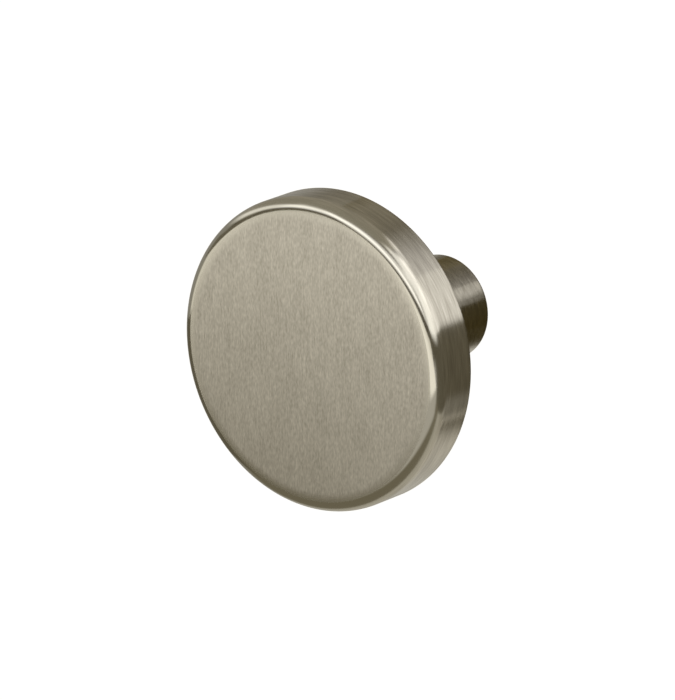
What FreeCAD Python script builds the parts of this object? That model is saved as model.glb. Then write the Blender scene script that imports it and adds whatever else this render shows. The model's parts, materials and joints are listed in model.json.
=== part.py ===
import FreeCAD, Part
import math
import os

# Cabinet knob: a flat round head on a plain round stem, cast and turned as one piece of metal.
# A tapped blind hole in the end of the stem takes the screw that holds it to a door or drawer.
#
# Millimetres, +Z up. The origin is the centre of the mounting face, the flat ring at the end of
# the stem that sits against the door. The knob stands out from there along -Y, so its face
# looks to -Y and a screw comes in from +Y.

# Head
head_diameter = 32.0
head_thickness = 5.4
# rounding from the flat face to the rim
shoulder_radius = 1.3
# small broken edge round the back of the rim
rim_back_radius = 0.25

# Stem
# mounting face to the face of the head
projection = 23.0
stem_diameter = 10.8
# fillet where the stem runs into the back of the head
stem_root_radius = 0.8
# broken edge round the mounting face
stem_end_radius = 0.35

# Tapped hole
thread_diameter = 4.0
thread_pitch = 0.7
# full thread, from the mounting face
thread_depth = 8.0
# plain drilled hole past the last thread, where the tap stops
tap_runout = 2.0
drill_point_angle = 118.0
# how far the countersunk mouth opens past the thread, all round
countersink_margin = 0.45


def to_point(radius, depth):
    """A point of the turning profile: its distance from the axis, and its depth in front of the door."""
    return FreeCAD.Vector(radius, -depth, 0)


def rounded_outline(corners):
    """A closed wire through the corners. Each corner is (point, radius), and radius 0 keeps it sharp."""
    starts = []
    middles = []
    ends = []
    for index, (corner, radius) in enumerate(corners):
        to_previous = (corners[index - 1][0] - corner).normalize()
        to_next = (corners[(index + 1) % len(corners)][0] - corner).normalize()
        half_angle = to_previous.getAngle(to_next) / 2
        towards_centre = (to_previous + to_next).normalize()
        tangent_length = radius / math.tan(half_angle)
        corner_to_arc = radius / math.sin(half_angle) - radius
        starts.append(corner + to_previous * tangent_length)
        middles.append(corner + towards_centre * corner_to_arc)
        ends.append(corner + to_next * tangent_length)
    edges = []
    for index, (corner, radius) in enumerate(corners):
        if radius > 0:
            edges.append(Part.Arc(starts[index], middles[index], ends[index]).toShape())
        following = (index + 1) % len(corners)
        edges.append(Part.LineSegment(ends[index], starts[following]).toShape())
    return Part.Wire(edges)


def outer_corners():
    """Head and stem, from the centre of the face round to the mounting face."""
    head_radius = head_diameter / 2
    stem_radius = stem_diameter / 2
    head_back = projection - head_thickness
    return [
        (to_point(0, projection), 0),
        (to_point(head_radius, projection), shoulder_radius),
        (to_point(head_radius, head_back), rim_back_radius),
        (to_point(stem_radius, head_back), stem_root_radius),
        (to_point(stem_radius, 0), stem_end_radius),
    ]


def hole_corners():
    """Tapped hole, from its countersunk mouth to the drill's point on the axis.

    The wall of the threaded length is at the thread's outer diameter, where a screw's crests run.
    """
    thread_radius = thread_diameter / 2
    # a tap drill is the thread's outer diameter less one pitch
    drill_radius = (thread_diameter - thread_pitch) / 2
    tap_lead = thread_radius - drill_radius
    drilled_depth = thread_depth + tap_runout
    point_length = drill_radius / math.tan(math.radians(drill_point_angle / 2))
    return [
        (to_point(thread_radius + countersink_margin, 0), 0),
        (to_point(thread_radius, countersink_margin), 0),
        (to_point(thread_radius, thread_depth), 0),
        (to_point(drill_radius, thread_depth + tap_lead), 0),
        (to_point(drill_radius, drilled_depth), 0),
        (to_point(0, drilled_depth + point_length), 0),
    ]


def make_knob():
    """The whole knob, turned in one revolve about its axis."""
    profile = Part.Face(rounded_outline(outer_corners() + hole_corners()))
    axis_point = FreeCAD.Vector(0, 0, 0)
    axis_direction = FreeCAD.Vector(0, 1, 0)
    return profile.revolve(axis_point, axis_direction, 360)


knob = make_knob()
os.makedirs("parts", exist_ok=True)
knob.exportStep("parts/knob.step")

box = knob.optimalBoundingBox()
print(f"knob: {len(knob.Solids)} solid, {len(knob.Faces)} faces, valid {knob.isValid()}")
print(f"volume {knob.Volume:.1f} mm3, box {box.XLength:.2f} x {box.YLength:.2f} x {box.ZLength:.2f} mm")
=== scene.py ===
# %% [markdown]
# # A brushed nickel cabinet knob
# The knob is one piece of cast and turned metal: a thin round head with a soft shoulder, on a plain
# round stem that is drilled and tapped for its screw. This lesson builds it in five steps: the
# camera, the turned body, the thread in the hole, the two brushed finishes, and the studio.
# Everything is in metres in the frame of the engineering model: the knob's axis lies along Y, its
# face looks to -Y, and the door would stand at Y = 0.

# %% Load the frame
import json
import math

import bmesh
import bpy
from mathutils import Matrix, Vector

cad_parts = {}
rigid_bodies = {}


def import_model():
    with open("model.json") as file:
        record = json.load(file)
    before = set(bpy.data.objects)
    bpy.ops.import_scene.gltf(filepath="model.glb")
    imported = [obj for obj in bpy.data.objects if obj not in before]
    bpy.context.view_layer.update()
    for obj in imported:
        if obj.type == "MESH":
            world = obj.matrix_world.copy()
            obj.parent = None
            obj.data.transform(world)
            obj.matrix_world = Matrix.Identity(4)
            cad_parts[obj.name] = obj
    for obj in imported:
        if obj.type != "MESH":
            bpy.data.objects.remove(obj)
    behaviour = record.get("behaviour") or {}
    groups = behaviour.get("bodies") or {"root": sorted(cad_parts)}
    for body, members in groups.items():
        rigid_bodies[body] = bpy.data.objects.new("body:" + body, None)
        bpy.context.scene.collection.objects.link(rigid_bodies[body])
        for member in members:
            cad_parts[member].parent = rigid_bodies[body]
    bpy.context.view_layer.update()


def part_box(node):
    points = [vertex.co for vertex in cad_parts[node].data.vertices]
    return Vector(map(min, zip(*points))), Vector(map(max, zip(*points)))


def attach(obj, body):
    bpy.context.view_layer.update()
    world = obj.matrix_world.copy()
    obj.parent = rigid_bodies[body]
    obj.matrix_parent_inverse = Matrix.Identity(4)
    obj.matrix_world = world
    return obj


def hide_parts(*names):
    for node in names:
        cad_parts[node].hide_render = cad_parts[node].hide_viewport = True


MM = 0.001
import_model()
knob_low, knob_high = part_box("knob")
print("knob box in mm:", [round(c / MM, 2) for c in knob_low], [round(c / MM, 2) for c in knob_high])

# %% [markdown]
# ## The camera
# A long lens about 0.7 m away looks at the knob from its front, from a little to its right and
# above. A camera could be aimed by hand, but an angle round the knob and an angle above it say the
# same thing in two numbers, so the camera's own three axes are worked out from those. The lens
# shift stays at zero: the knob sits a little to the left in the picture only because the camera
# aims a little to its right.

# %% Camera axes and place
CAMERA_TURN = math.radians(37.01)
CAMERA_RISE = math.radians(16.33)
CAMERA_DISTANCE = 700 * MM
PICTURE_HEIGHT_PX = 700
PX_PER_MM = 10.129
AIM_RIGHT = 28.9 / PX_PER_MM * MM
AIM_UP = 7.1 / PX_PER_MM * MM

face_centre = Vector((0, knob_low.y, 0))
camera_right = Vector((math.cos(CAMERA_TURN), math.sin(CAMERA_TURN), 0))
camera_forward = Vector((
    -math.sin(CAMERA_TURN) * math.cos(CAMERA_RISE),
    math.cos(CAMERA_TURN) * math.cos(CAMERA_RISE),
    -math.sin(CAMERA_RISE),
))
camera_up = camera_right.cross(camera_forward)
aim = face_centre + camera_right * AIM_RIGHT + camera_up * AIM_UP
camera_place = aim - camera_forward * CAMERA_DISTANCE

camera_data = bpy.data.cameras.new("camera")
camera_data.sensor_width = 36.0
camera_data.lens = PX_PER_MM * CAMERA_DISTANCE / MM * camera_data.sensor_width / PICTURE_HEIGHT_PX
camera_data.clip_start = 0.01
camera_data.clip_end = 100.0
camera = bpy.data.objects.new("camera", camera_data)
turn = Matrix((camera_right, camera_up, -camera_forward)).transposed()
camera.matrix_world = Matrix.Translation(camera_place) @ turn.to_4x4()
bpy.context.scene.collection.objects.link(camera)
bpy.context.scene.camera = camera
print(f"camera {camera_data.lens:.1f} mm lens at", [round(c, 3) for c in camera_place])

# %% [markdown]
# ## The turned body
# On the real knob a lathe tool follows one profile, from the centre of the face, over the shoulder,
# round the back and along the stem into the hole. Blender can do the same: a chain of corners is
# rounded with a vertex bevel, which leaves true arcs, and one full spin turns it into the body.
# This beats a cylinder with modifiers, because each arc gets its own real radius, and because the
# rings follow the marks that the lathe leaves. The engineering model has the same shape, but its
# loose triangles carry no map that a brushed finish could follow, so this piece stands for it.

# %% Sizes of the body, in millimetres
HEAD_RADIUS = 16.0
HEAD_THICKNESS = 5.4
PROJECTION = 23.0
STEM_RADIUS = 5.4
SHOULDER_ROUND = 1.3
RIM_BACK_ROUND = 0.25
STEM_ROOT_ROUND = 0.8
STEM_END_ROUND = 0.35
THREAD_RADIUS = 2.0
THREAD_PITCH = 0.7
THREAD_DEPTH = 8.0
DRILL_RADIUS = THREAD_RADIUS - THREAD_PITCH / 2
DRILL_DEPTH = 10.0
DRILL_POINT_ANGLE = math.radians(118)
DRILL_TIP = DRILL_RADIUS / math.tan(DRILL_POINT_ANGLE / 2)
MOUTH_MARGIN = 0.45
STEPS_ROUND = 288
HEAD_BACK = PROJECTION - HEAD_THICKNESS

# the belt takes the face down to where the shoulder slopes this much, and it bends over the last
# millimetre to that slope
BELT_SLOPE = math.radians(5)
FACE_EDGE = HEAD_RADIUS - SHOULDER_ROUND * (1 - math.sin(BELT_SLOPE))
BEND_WIDTH = 0.9
BEND_MIDDLE = FACE_EDGE - BEND_WIDTH / 2
FACE_EDGE_DEPTH = PROJECTION - BEND_WIDTH / 2 * math.tan(BELT_SLOPE)
TURNED_FACE_DEPTH = FACE_EDGE_DEPTH + SHOULDER_ROUND * (1 - math.cos(BELT_SLOPE))

# radius, depth in front of the door, rounding, segments in the rounding
OUTER_CORNERS = [
    (0.0, TURNED_FACE_DEPTH, 0, 0),
    (HEAD_RADIUS, TURNED_FACE_DEPTH, SHOULDER_ROUND, 36),
    (HEAD_RADIUS, HEAD_BACK, RIM_BACK_ROUND, 8),
    (STEM_RADIUS, HEAD_BACK, STEM_ROOT_ROUND, 8),
    (STEM_RADIUS, 0.0, STEM_END_ROUND, 8),
]
HOLE_CORNERS = [
    (THREAD_RADIUS + MOUTH_MARGIN, 0.0, 0, 0),
    (THREAD_RADIUS, MOUTH_MARGIN, 0, 0),
    (THREAD_RADIUS, THREAD_DEPTH, 0, 0),
    (DRILL_RADIUS, THREAD_DEPTH + THREAD_RADIUS - DRILL_RADIUS, 0, 0),
    (DRILL_RADIUS, DRILL_DEPTH, 0, 0),
    (0.0, DRILL_DEPTH + DRILL_TIP, 0, 0),
]


def profile_point(radius, depth):
    """A point of the profile, in the plane through the knob's axis and +X."""
    return Vector((radius * MM, -depth * MM, 0))


# %% The profile, rounded at its corners
def round_corner(mesh, corner, radius, segments):
    """Swaps a corner of the chain for an arc. At a right angle the bevel's offset is the arc's radius."""
    bmesh.ops.bevel(
        mesh, geom=[corner], offset=radius * MM, offset_type="OFFSET", segments=segments,
        profile=0.5, affect="VERTICES", material=-1,
    )


def chain(mesh, corners):
    """Joins the corners into one chain of edges, then rounds the ones that have a radius."""
    points = [mesh.verts.new(profile_point(radius, depth)) for radius, depth, _, _ in corners]
    for start, end in zip(points, points[1:]):
        mesh.edges.new((start, end))
    for point, (_, _, radius, segments) in zip(points, corners):
        if radius > 0:
            round_corner(mesh, point, radius, segments)


body = bmesh.new()
chain(body, OUTER_CORNERS + HOLE_CORNERS)
print("profile points:", len(body.verts))

# %% [markdown]
# After turning, the face is drawn across a belt. The belt is soft, so it bends over the edge: the
# face is flat up to its last millimetre and falls away there by a few hundredths, which lights that
# ring slowly up or down. A plane cuts off the turned face, and a shallow corner with a wide
# rounding takes its place.

# %% Belt the face
# keeps the bend's rounding a hair short of the face's edge
BEND_MARGIN = 0.01
cut = bmesh.ops.bisect_plane(
    body, geom=body.verts[:] + body.edges[:], dist=1e-9, plane_co=profile_point(0, FACE_EDGE_DEPTH),
    plane_no=(0, -1, 0), clear_outer=True,
)
face_edge = next(v for v in cut["geom_cut"] if isinstance(v, bmesh.types.BMVert))
bend = body.verts.new(profile_point(BEND_MIDDLE, PROJECTION))
body.edges.new((body.verts.new(profile_point(0, PROJECTION)), bend))
body.edges.new((bend, face_edge))
round_corner(body, bend, BEND_WIDTH / 2 - BEND_MARGIN, 10)
print(f"face edge at radius {face_edge.co.x / MM:.3f} mm, planned {FACE_EDGE:.3f}")

# %% [markdown]
# A smooth shaded mesh blends its normals across every ring, so a flat face next to an arc would
# bend light where the real one is flat. One extra ring close to each side of an arc keeps the blend
# inside a few hundredths of a millimetre. The face also gets a few rings, so that no triangle
# is a long sliver from rim to centre.

# %% Extra rings beside the arcs and across the face
RING_MARGIN = 0.04
FACE_RINGS = [4.0, 8.0, 12.0]


def add_ring(mesh, radius, depth):
    """Splits the edge of the chain that passes through this point of the profile."""
    place = profile_point(radius, depth)
    for edge in mesh.edges:
        start, end = edge.verts
        along = end.co - start.co
        share = (place - start.co).dot(along) / along.length_squared
        if 0.0 < share < 1.0 and (start.co + along * share - place).length < 1e-7:
            bmesh.utils.edge_split(edge, start, share)
            return
    raise ValueError(f"no edge passes through radius {radius}, depth {depth}")


for radius in FACE_RINGS + [FACE_EDGE - BEND_WIDTH - RING_MARGIN]:
    add_ring(body, radius, PROJECTION)
add_ring(body, HEAD_RADIUS, TURNED_FACE_DEPTH - SHOULDER_ROUND - RING_MARGIN)
add_ring(body, HEAD_RADIUS, HEAD_BACK + RIM_BACK_ROUND + RING_MARGIN)
add_ring(body, HEAD_RADIUS - RIM_BACK_ROUND - RING_MARGIN, HEAD_BACK)
add_ring(body, STEM_RADIUS + STEM_ROOT_ROUND + RING_MARGIN, HEAD_BACK)
add_ring(body, STEM_RADIUS, HEAD_BACK - STEM_ROOT_ROUND - RING_MARGIN)
add_ring(body, STEM_RADIUS, STEM_END_ROUND + RING_MARGIN)
add_ring(body, STEM_RADIUS - STEM_END_ROUND - RING_MARGIN, 0.0)
print("profile points with extra rings:", len(body.verts))

# %% Distance along the profile, kept for the finish
def chain_lengths(mesh):
    """Millimetres along the chain from the centre of the face, by vertex."""
    ends = [v for v in mesh.verts if len(v.link_edges) == 1]
    vertex = min(ends, key=lambda v: v.co.y)
    lengths = {vertex: 0.0}
    walked = 0.0
    edge = vertex.link_edges[0]
    while edge is not None:
        walked += edge.calc_length() / MM
        vertex = edge.other_vert(vertex)
        lengths[vertex] = walked
        onward = [e for e in vertex.link_edges if e is not edge]
        edge = onward[0] if onward else None
    return lengths


along_profile = body.verts.layers.float.new("along_profile")
for vertex, length in chain_lengths(body).items():
    vertex[along_profile] = length
profile_length = max(v[along_profile] for v in body.verts)
print(f"profile length {profile_length:.2f} mm")

# %% Turn it
bmesh.ops.spin(
    body, geom=body.verts[:] + body.edges[:], cent=(0, 0, 0), axis=(0, 1, 0),
    angle=math.tau, steps=STEPS_ROUND, use_merge=True,
)
bmesh.ops.remove_doubles(body, verts=body.verts[:], dist=1e-7)
bmesh.ops.recalc_face_normals(body, faces=body.faces[:])
open_edges = [e for e in body.edges if len(e.link_faces) != 2]
print(f"body: {len(body.faces)} faces, {len(open_edges)} open edges")
print(f"volume {body.calc_volume() / MM**3:.0f} mm3")

# %% [markdown]
# ## A map that follows the brush
# The face was drawn up and down across a belt, so its grain is straight and vertical. Everything
# else was finished while it turned, so its grain runs round. Brushed metal spreads a reflection
# across its grain, and the shader needs to know that direction at every point. A UV map tells it:
# U always runs across the grain. On the face U is X and V is Z. On the turned surfaces U is the
# distance along the profile, and V is the distance round. Three material places keep the face,
# the turned surface and the bare hole apart.

# %% Map and material places
FACE_PLACE, TURNED_PLACE, HOLE_PLACE = 0, 1, 2
MAP_MM = 50.0
HOLE_START = THREAD_RADIUS + 0.001


def place_of(face):
    """Face of the head, inside of the hole, or turned surface, from where the middle of it lies."""
    middle = face.calc_center_median() / MM
    radius = math.hypot(middle.x, middle.z)
    if middle.y < -FACE_EDGE_DEPTH and radius < FACE_EDGE:
        return FACE_PLACE
    if radius < HOLE_START and middle.y > -PROJECTION + HEAD_THICKNESS:
        return HOLE_PLACE
    return TURNED_PLACE


def map_face(mesh, face, uv_layer):
    """Lays one face of the mesh on the map, in units of MAP_MM."""
    middle = face.calc_center_median()
    middle_turn = math.atan2(middle.z, middle.x)
    for loop in face.loops:
        x, y, z = loop.vert.co / MM
        if face.material_index == FACE_PLACE:
            loop[uv_layer].uv = (x / MAP_MM, z / MAP_MM)
            continue
        radius = math.hypot(x, z)
        turned = math.atan2(z, x) - middle_turn if radius > 1e-4 else 0.0
        turned = (turned + math.pi) % math.tau - math.pi
        round_the_axis = (middle_turn + turned) / math.tau
        loop[uv_layer].uv = (loop.vert[along_profile] / MAP_MM, round_the_axis)


brush_map = body.loops.layers.uv.new("brush_map")
for face in body.faces:
    face.smooth = True
    face.material_index = place_of(face)
    map_face(body, face, brush_map)

SHARP_ANGLE = math.radians(25)
for edge in body.edges:
    edge.smooth = edge.calc_face_angle(0.0) < SHARP_ANGLE
places = [sum(1 for f in body.faces if f.material_index == p) for p in range(3)]
print("faces on the face, turned and in the hole:", places)

# %% The finished piece
def add_piece(name, mesh):
    """Makes an object of a bmesh. The object stays at the origin, so its place is in its mesh."""
    data = bpy.data.meshes.new(name)
    mesh.to_mesh(data)
    mesh.free()
    piece = bpy.data.objects.new(name, data)
    bpy.context.scene.collection.objects.link(piece)
    return piece


knob = add_piece("knob_turned", body)

# %% [markdown]
# ## The thread
# The hole is tapped for the screw that holds the knob. A tap cuts a groove and leaves a ridge that
# climbs round the wall, to the right like any ordinary screw. The engineering model has a plain
# wall at the thread's outer diameter, so here the ridge is added inside it. Its triangle is
# spun and moved along the axis at the same time, which is what a tap does.

# %% Cut the ridge with a rising spin
RIDGE_STEPS = 48
RIDGE_START = MOUTH_MARGIN + 0.1
RIDGE_STOP = THREAD_DEPTH - 0.15
RIDGE_TURNS = (RIDGE_STOP - RIDGE_START) / THREAD_PITCH
# shares of the pitch: half the width of the foot, the width of the flat crest, and the height
RIDGE_FOOT = 0.44 * THREAD_PITCH
RIDGE_CREST = 0.125 * THREAD_PITCH
RIDGE_CREST_RADIUS = THREAD_RADIUS - 0.54 * THREAD_PITCH
# how far the foot goes into the wall, so that no gap shows
SINK = 0.004

ridge = bmesh.new()
section = [
    (THREAD_RADIUS + SINK, RIDGE_START - RIDGE_FOOT),
    (RIDGE_CREST_RADIUS, RIDGE_START - RIDGE_CREST / 2),
    (RIDGE_CREST_RADIUS, RIDGE_START + RIDGE_CREST / 2),
    (THREAD_RADIUS + SINK, RIDGE_START + RIDGE_FOOT),
]
corners = [ridge.verts.new(profile_point(radius, depth)) for radius, depth in section]
ridge_end = ridge.faces.new(corners)
turn_steps = round(RIDGE_STEPS * RIDGE_TURNS)
rise = THREAD_PITCH * MM / RIDGE_STEPS
bmesh.ops.spin(
    ridge, geom=[ridge_end], cent=(0, 0, 0), axis=(0, 1, 0), dvec=(0, -rise, 0),
    angle=-math.tau * turn_steps / RIDGE_STEPS, steps=turn_steps, use_merge=False,
)
print(f"ridge: {len(ridge.faces)} faces, {turn_steps} steps of {rise / MM:.4f} mm")

# %% Close and shade the ridge
boundary = [e for e in ridge.edges if len(e.link_faces) == 1]
if boundary:
    bmesh.ops.holes_fill(ridge, edges=boundary, sides=4)
bmesh.ops.recalc_face_normals(ridge, faces=ridge.faces[:])
for face in ridge.faces:
    face.smooth = True
for edge in ridge.edges:
    edge.smooth = edge.calc_face_angle(0.0) < SHARP_ANGLE
thread = add_piece("screw_thread", ridge)
print("thread triangles:", sum(len(p.vertices) - 2 for p in thread.data.polygons))

# %% [markdown]
# ## Materials
# Colours are written as hex values, as a paint chart gives them, and one function turns them to the
# linear values that the shader wants. One more function adds a node with its settings and links,
# which keeps each material to a few lines.

# %% Helpers for colours and nodes
def colour(hex_value):
    """sRGB hex to linear RGBA."""
    parts = [int(hex_value[i:i + 2], 16) / 255 for i in (1, 3, 5)]
    linear = [c / 12.92 if c <= 0.04045 else ((c + 0.055) / 1.055) ** 2.4 for c in parts]
    return (*linear, 1.0)


def add_node(tree, kind, settings=None, links=None, values=None):
    """Adds a node. settings are its properties, values its socket values, links its inputs."""
    node = tree.nodes.new(kind)
    for name, value in (settings or {}).items():
        setattr(node, name, value)
    for socket, value in (values or {}).items():
        node.inputs[socket].default_value = value
    for socket, output in (links or {}).items():
        tree.links.new(output, node.inputs[socket])
    return node


def new_material(name):
    """An empty node material and its tree."""
    material = bpy.data.materials.new(name)
    material.use_nodes = True
    material.node_tree.nodes.clear()
    return material, material.node_tree


# %% [markdown]
# ### Brushed nickel
# The knob is a zinc alloy casting, plated with nickel and brushed under a thin clear lacquer. The
# brush leaves fine scratches. They blur a reflection across the grain and keep it sharp along it,
# which the shader's anisotropy gives, and close to they show as soft streaks, which stretched noise
# gives in the bump and the colour. Real scratches are a few hundredths of a millimetre wide, too
# fine to show at this distance, so they are drawn as coarse as the streaks that the eye makes of
# them. Nickel is a warm grey. Its shade turns warmer still through warm light: the dim cards and
# walls that it mirrors there are given cream and yellow tones.

# %% Grain, shared by both brushed finishes
def grain_noise(tree, vector):
    """Noise whose cells are one unit of the vector across."""
    noise = add_node(tree, "ShaderNodeTexNoise", links={"Vector": vector},
                     values={"Scale": 1.0, "Detail": 1.0, "Roughness": 0.5})
    return noise.outputs["Fac"]


def mix_colours(tree, factor, first, second):
    """A blend of two colours. Each is a hex value or the output of another node."""
    blend = add_node(tree, "ShaderNodeMix", {"data_type": "RGBA"}, {"Factor": factor})
    for socket, shade in ((6, first), (7, second)):
        if isinstance(shade, str):
            blend.inputs[socket].default_value = colour(shade)
        else:
            tree.links.new(shade, blend.inputs[socket])
    return blend.outputs[2]


SCRATCH_DEPTH = 0.01


def nickel_shader(tree, tint, height, roughness, anisotropy, bump):
    """The metal itself. U of the brush map is the direction that a reflection spreads in."""
    depth = add_node(tree, "ShaderNodeBump", links={"Height": height},
                     values={"Strength": bump, "Distance": SCRATCH_DEPTH * MM})
    tangent = add_node(tree, "ShaderNodeTangent", {"direction_type": "UV_MAP", "uv_map": "brush_map"})
    shader = add_node(
        tree, "ShaderNodeBsdfPrincipled",
        links={"Base Color": tint, "Roughness": roughness, "Normal": depth.outputs["Normal"],
               "Tangent": tangent.outputs["Tangent"]},
        values={"Metallic": 1.0, "Anisotropic": anisotropy},
    )
    add_node(tree, "ShaderNodeOutputMaterial", links={"Surface": shader.outputs["BSDF"]})


# %% Straight grain on the face
def vertical_scratches(tree, place, width_mm, long_mm):
    """Noise whose cells are drawn out upwards."""
    stretch = add_node(tree, "ShaderNodeMapping", links={"Vector": place.outputs["Object"]})
    stretch.inputs["Scale"].default_value = (1 / (width_mm * MM), 1 / (width_mm * MM), 1 / (long_mm * MM))
    return grain_noise(tree, stretch.outputs["Vector"])


# short scratches give the soft speckle of a belt, long ones its direction, and wide patches keep
# the face from looking printed
face_nickel, tree = new_material("nickel_belt_brushed_vertical")
place = add_node(tree, "ShaderNodeTexCoord")
short = vertical_scratches(tree, place, 0.14, 0.45)
long = vertical_scratches(tree, place, 0.14, 2.5)
patchy = vertical_scratches(tree, place, 2.0, 4.0)
streaky = add_node(tree, "ShaderNodeMix", {"data_type": "FLOAT"}, {"A": short, "B": long}, {"Factor": 0.3})
uneven = add_node(tree, "ShaderNodeMix", {"data_type": "FLOAT"},
                  {"A": streaky.outputs["Result"], "B": patchy}, {"Factor": 0.14})
scratches = uneven.outputs["Result"]
# the belt rides lighter near the edge, so the last millimetre is smoother and its grain fades out
flat = add_node(tree, "ShaderNodeVectorMath", {"operation": "MULTIPLY"}, {0: place.outputs["Object"]},
                {1: (1, 0, 1)})
radius = add_node(tree, "ShaderNodeVectorMath", {"operation": "LENGTH"}, {0: flat.outputs["Vector"]})
worn = {"From Min": (FACE_EDGE - BEND_WIDTH) * MM, "From Max": FACE_EDGE * MM}
smoother = add_node(tree, "ShaderNodeMapRange", {"interpolation_type": "SMOOTHSTEP"},
                    {"Value": radius.outputs["Value"]}, {**worn, "To Min": 0.36, "To Max": 0.26})
grain_left = add_node(tree, "ShaderNodeMapRange", {"interpolation_type": "SMOOTHSTEP"},
                      {"Value": radius.outputs["Value"]}, {**worn, "To Min": 1.0, "To Max": 0.2})
scratched = mix_colours(tree, scratches, "#807969", "#E3DCCA")
tint = mix_colours(tree, grain_left.outputs["Result"], "#BCB6A4", scratched)
height = add_node(tree, "ShaderNodeMath", {"operation": "MULTIPLY"},
                  {0: scratches, 1: grain_left.outputs["Result"]})
nickel_shader(tree, tint, height.outputs["Value"], smoother.outputs["Result"], 0.5, 0.2)

# %% Turned grain round the rim and the stem
def turned_vector(tree, width_mm, turns):
    """A noise space: X is the distance along the profile, and Y and Z go round the axis without a seam."""
    brush = add_node(tree, "ShaderNodeUVMap", {"uv_map": "brush_map"})
    split = add_node(tree, "ShaderNodeSeparateXYZ", links={"Vector": brush.outputs["UV"]})
    across = add_node(tree, "ShaderNodeMath", {"operation": "MULTIPLY"}, {0: split.outputs["X"]},
                      {1: MAP_MM / width_mm})
    place = add_node(tree, "ShaderNodeTexCoord")
    flat = add_node(tree, "ShaderNodeVectorMath", {"operation": "MULTIPLY"}, {0: place.outputs["Object"]},
                    {1: (1, 0, 1)})
    unit = add_node(tree, "ShaderNodeVectorMath", {"operation": "NORMALIZE"}, {0: flat.outputs["Vector"]})
    wide = add_node(tree, "ShaderNodeVectorMath", {"operation": "SCALE"}, {0: unit.outputs["Vector"]},
                    {"Scale": turns})
    circle = add_node(tree, "ShaderNodeSeparateXYZ", links={"Vector": wide.outputs["Vector"]})
    joined = add_node(tree, "ShaderNodeCombineXYZ", links={
        "X": across.outputs["Value"], "Y": circle.outputs["X"], "Z": circle.outputs["Z"]})
    return joined.outputs["Vector"], split.outputs["X"]


# fine lines go round the metal, and coarser ones show where the tool pressed more or less
turned_nickel, tree = new_material("nickel_brushed_while_turning")
fine_vector, along = turned_vector(tree, 0.11, 6.0)
coarse_vector, _ = turned_vector(tree, 0.55, 4.0)
fine = grain_noise(tree, fine_vector)
coarse = grain_noise(tree, coarse_vector)
grain = add_node(tree, "ShaderNodeMix", {"data_type": "FLOAT"}, {"A": fine, "B": coarse}, {"Factor": 0.45})
# the rounded shoulder was buffed, so it mirrors most sharply, and the grain starts only where the
# shoulder turns into the rim
buffed = add_node(tree, "ShaderNodeMapRange", {"interpolation_type": "SMOOTHSTEP"}, {"Value": along},
                  {"From Min": 15.5 / MAP_MM, "From Max": 16.7 / MAP_MM, "To Min": 0.0, "To Max": 1.0})
streaks = mix_colours(tree, grain.outputs["Result"], "#857D6C", "#F2EAD6")
tint = mix_colours(tree, buffed.outputs["Result"], "#C0BAA8", streaks)
height = add_node(tree, "ShaderNodeMath", {"operation": "MULTIPLY"},
                  {0: fine, 1: buffed.outputs["Result"]})
roughness = add_node(tree, "ShaderNodeMapRange", {"interpolation_type": "SMOOTHSTEP"}, {"Value": along},
                     {"From Min": 15.1 / MAP_MM, "From Max": 16.2 / MAP_MM, "To Min": 0.1, "To Max": 0.19})
nickel_shader(tree, tint, height.outputs["Value"], roughness.outputs["Result"], 0.95, 0.12)

# %% [markdown]
# ### Bare zinc in the hole
# The tap cuts through the plating, so the thread and the drilled hole show grey, duller zinc.

# %% Tapped zinc
zinc, zinc_tree = new_material("zinc_alloy_tapped")
zinc_place = add_node(zinc_tree, "ShaderNodeTexCoord")
zinc_noise = add_node(zinc_tree, "ShaderNodeTexNoise", links={"Vector": zinc_place.outputs["Object"]},
                      values={"Scale": 1 / (0.3 * MM), "Detail": 3.0})
zinc_tint = mix_colours(zinc_tree, zinc_noise.outputs["Fac"], "#8E8D8A", "#A9A8A4")
zinc_shader = add_node(zinc_tree, "ShaderNodeBsdfPrincipled", links={"Base Color": zinc_tint},
                       values={"Metallic": 1.0, "Roughness": 0.42})
add_node(zinc_tree, "ShaderNodeOutputMaterial", links={"Surface": zinc_shader.outputs["BSDF"]})

# %% Dress the pieces and tie them to the frame
for material in (face_nickel, turned_nickel, zinc):
    knob.data.materials.append(material)
thread.data.materials.append(zinc)
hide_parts("knob")
for piece in (knob, thread):
    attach(piece, "root")

# %% [markdown]
# ## The studio
# Metal shows its surroundings more than itself, so the studio is half of how it looks. The floor is
# plain white and lies well below the knob, where its shadow falls outside the picture. Soft boxes
# give the light, dark cards stand where the knob should look dark, and dim walls stand far off.
# Boxes fade out towards their edges, and so do some cards, because a hard edge would show as a hard
# line in the shoulder. Boxes, cards and walls aren't seen by the camera, so other views stay clear,
# and past the floor the camera sees plain white.

# %% A strength for what the camera, metal and glass see, and for nothing else
def seen_directly(tree, strength):
    """strength for camera, glossy and transmission rays, and 0 for the rays that light a matt surface."""
    seen = add_node(tree, "ShaderNodeLightPath")
    direct = add_node(tree, "ShaderNodeMath", {"operation": "ADD"},
                      {0: seen.outputs["Is Camera Ray"], 1: seen.outputs["Is Glossy Ray"]})
    direct_or_through = add_node(tree, "ShaderNodeMath", {"operation": "ADD", "use_clamp": True},
                                 {0: direct.outputs["Value"], 1: seen.outputs["Is Transmission Ray"]})
    scaled = add_node(tree, "ShaderNodeMath", {"operation": "MULTIPLY"},
                      {0: direct_or_through.outputs["Value"]}, {1: strength})
    return scaled.outputs["Value"]


# %% White floor
FLOOR_DROP = 0.62
FLOOR_SIZE = 40.0
FLOOR_LIFT = 0.95

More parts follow.
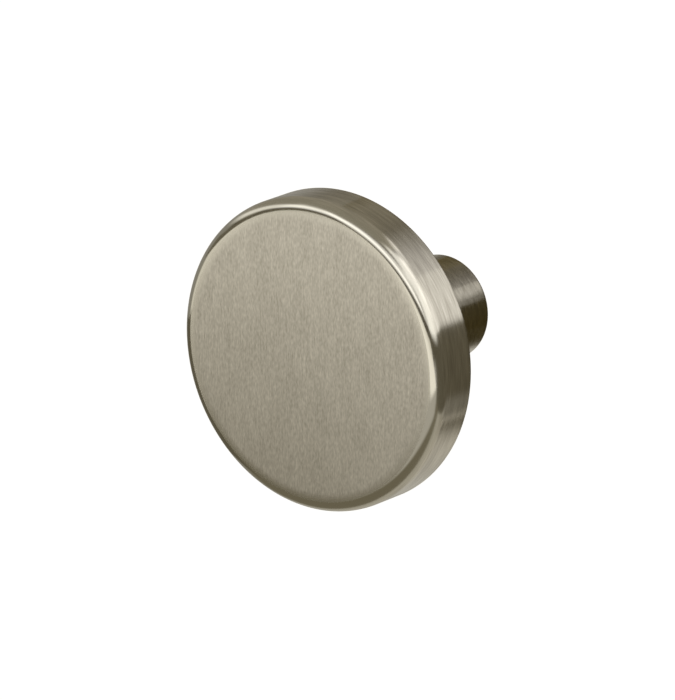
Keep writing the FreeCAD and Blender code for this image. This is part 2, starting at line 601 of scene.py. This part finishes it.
floor_mesh = bmesh.new()
bmesh.ops.create_grid(floor_mesh, x_segments=1, y_segments=1, size=FLOOR_SIZE / 2)
bmesh.ops.translate(floor_mesh, verts=floor_mesh.verts[:], vec=(0, 0, -FLOOR_DROP))
floor = add_piece("floor", floor_mesh)
floor_material, tree = new_material("floor_white_paper")
matt = add_node(tree, "ShaderNodeBsdfDiffuse", values={"Color": colour("#F2F1EE")})
lift = add_node(tree, "ShaderNodeEmission", links={"Strength": seen_directly(tree, FLOOR_LIFT)})
both = add_node(tree, "ShaderNodeAddShader", links={0: matt.outputs["BSDF"], 1: lift.outputs["Emission"]})
add_node(tree, "ShaderNodeOutputMaterial", links={"Surface": both.outputs["Shader"]})
floor.data.materials.append(floor_material)

# %% Places round the knob
STUDIO_MIDDLE = Vector((0, -15 * MM, 0))


def studio_place(turn, rise, distance):
    """A matrix at distance (mm) from the knob that looks at it. turn goes from the front to the right."""
    turn, rise = math.radians(turn), math.radians(rise)
    outward = Vector((math.sin(turn) * math.cos(rise), -math.cos(turn) * math.cos(rise), math.sin(rise)))
    sideways = Vector((0, 0, 1)).cross(outward).normalized()
    upward = outward.cross(sideways)
    axes = Matrix((sideways, upward, outward)).transposed().to_4x4()
    return Matrix.Translation(STUDIO_MIDDLE + outward * distance * MM) @ axes


# %% Soft edges for boxes and cards
def solid_part(tree, place, width, height, fade):
    """1 in the middle of a rectangle and 0 at its edge. It changes over the last few mm, fade.

    place gives 0 to 1 across the rectangle and 0 to 1 up it.
    """
    centred = add_node(tree, "ShaderNodeVectorMath", {"operation": "MULTIPLY_ADD"}, {0: place},
                       {1: (2, 2, 0), 2: (-1, -1, 0)})
    outward = add_node(tree, "ShaderNodeVectorMath", {"operation": "ABSOLUTE"},
                       {0: centred.outputs["Vector"]})
    across, up = width / 2 / fade, height / 2 / fade
    inside = add_node(tree, "ShaderNodeVectorMath", {"operation": "MULTIPLY_ADD"},
                      {0: outward.outputs["Vector"]}, {1: (-across, -up, 0), 2: (across, up, 0)})
    sides = add_node(tree, "ShaderNodeSeparateXYZ", links={"Vector": inside.outputs["Vector"]})
    nearest = add_node(tree, "ShaderNodeMath", {"operation": "MINIMUM"},
                       {0: sides.outputs["X"], 1: sides.outputs["Y"]})
    solid = add_node(tree, "ShaderNodeMapRange", {"interpolation_type": "SMOOTHSTEP"},
                     {"Value": nearest.outputs["Value"]})
    return solid.outputs["Result"]


# %% Soft boxes
LAMP_TONE = "#F2F5FF"
LAMP_FADE = 16.0


def soft_box(name, turn, rise, distance, width, height, strength):
    """A rectangular lamp, sizes in mm. Its middle looks nearly as bright as white times strength."""
    width, height = width + LAMP_FADE, height + LAMP_FADE
    lamp = bpy.data.lights.new(name, "AREA")
    lamp.use_nodes = True
    lamp.node_tree.nodes.clear()
    place = add_node(lamp.node_tree, "ShaderNodeNewGeometry")
    solid = solid_part(lamp.node_tree, place.outputs["Parametric"], width, height, LAMP_FADE)
    lit = add_node(lamp.node_tree, "ShaderNodeEmission", links={"Strength": solid})
    add_node(lamp.node_tree, "ShaderNodeOutputLight", links={"Surface": lit.outputs["Emission"]})
    lamp.shape = "RECTANGLE"
    lamp.size = width * MM
    lamp.size_y = height * MM
    lamp.color = colour(LAMP_TONE)[:3]
    lamp.energy = strength * math.pi * lamp.size * lamp.size_y
    box = bpy.data.objects.new(name, lamp)
    box.matrix_world = studio_place(turn, rise, distance)
    box.visible_camera = False
    bpy.context.scene.collection.objects.link(box)


soft_box("soft_right_front", 62, 35, 90, 70, 90, 1.57)
soft_box("soft_right_back", 116, 39, 100, 110, 105, 0.98)
soft_box("soft_front", -33, 28, 115, 700, 30, 1.04)
soft_box("soft_front_left", -36, 31, 90, 30, 40, 0.63)
soft_box("soft_front_mid", 4, 28, 90, 90, 45, 1.18)
soft_box("soft_low", 10, -21, 100, 115, 50, 0.45)
soft_box("soft_low_left", -18, -1, 90, 95, 20, 0.31)

# %% Cards
# the dimmer cards get cream and yellow tones, so the nickel turns warmer and browner where it mirrors them
# in its shade
NEARLY_WHITE = "#FFFDF6"
CREAM = "#FFF6DC"


def card(name, turn, rise, distance, width, height, shade, tone, fade=0.0):
    """A flat card, sizes in mm. shade is what it shows, from 0 for black to 1 for white.

    With a fade its edge turns clear over that many millimetres.
    """
    width, height = width + fade, height + fade
    material, tree = new_material(name + "_paper")
    lit = add_node(tree, "ShaderNodeEmission", values={"Color": colour(tone), "Strength": shade})
    surface = lit.outputs["Emission"]
    if fade > 0:
        place = add_node(tree, "ShaderNodeTexCoord")
        clear = add_node(tree, "ShaderNodeBsdfTransparent")
        soft = add_node(tree, "ShaderNodeMixShader", links={
            0: solid_part(tree, place.outputs["UV"], width, height, fade),
            1: clear.outputs["BSDF"], 2: surface})
        surface = soft.outputs["Shader"]
    add_node(tree, "ShaderNodeOutputMaterial", links={"Surface": surface})
    sheet = bmesh.new()
    sheet.loops.layers.uv.new("sheet_map")
    bmesh.ops.create_grid(sheet, x_segments=1, y_segments=1, size=0.5, calc_uvs=True)
    bmesh.ops.scale(sheet, verts=sheet.verts[:], vec=(width * MM, height * MM, 1))
    bmesh.ops.transform(sheet, verts=sheet.verts[:], matrix=studio_place(turn, rise, distance))
    piece = add_piece(name, sheet)
    piece.data.materials.append(material)
    piece.visible_camera = False


card("dark_right", 95, -9, 90, 700, 75, 0.15, CREAM)
card("grey_back_right", 103, 1, 230, 700, 415, 0.34, NEARLY_WHITE)
card("dark_front", -46, 8, 90, 115, 15, 0.2, CREAM)
card("dark_behind", 199, 11, 90, 30, 100, 0.12, "#FFE9A0")
card("grey_below", 9, -76, 105, 345, 320, 0.24, CREAM, 20)
card("grey_left", -77, -25, 90, 75, 45, 0.17, CREAM)
card("grey_far_left", -107, -12, 105, 185, 130, 0.38, NEARLY_WHITE, 30)
card("pale_below_right", 147, -73, 95, 455, 130, 0.59, NEARLY_WHITE, 50)
card("grey_top", 269, 62, 175, 405, 415, 0.37, "#FFFAEC")
card("black_stem", 158, -12, 50, 40, 55, 0.05, "#FFE27A", 12)

# %% Dim walls, and white beyond them
WALLS_AWAY = 19.0
ROOM_LEVEL = 0.12

walls_mesh = bmesh.new()
bmesh.ops.create_icosphere(walls_mesh, subdivisions=3, radius=WALLS_AWAY)
walls = add_piece("walls", walls_mesh)
walls_material, tree = new_material("walls_dim_paint")
# the walls' warm tone also warms the shade that the nickel mirrors
dim = add_node(tree, "ShaderNodeEmission", values={"Color": colour("#FFF3D8"), "Strength": ROOM_LEVEL})
add_node(tree, "ShaderNodeOutputMaterial", links={"Surface": dim.outputs["Emission"]})
walls.data.materials.append(walls_material)
walls.visible_camera = False

world = bpy.data.worlds.new("studio")
bpy.context.scene.world = world
world.use_nodes = True
world.node_tree.nodes.clear()
beyond = add_node(world.node_tree, "ShaderNodeBackground",
                  links={"Strength": seen_directly(world.node_tree, 1.0)})
beyond.inputs["Color"].default_value = colour("#FFFFFF")
add_node(world.node_tree, "ShaderNodeOutputWorld", links={"Surface": beyond.outputs["Background"]})
bpy.context.scene.view_settings.view_transform = "Standard"
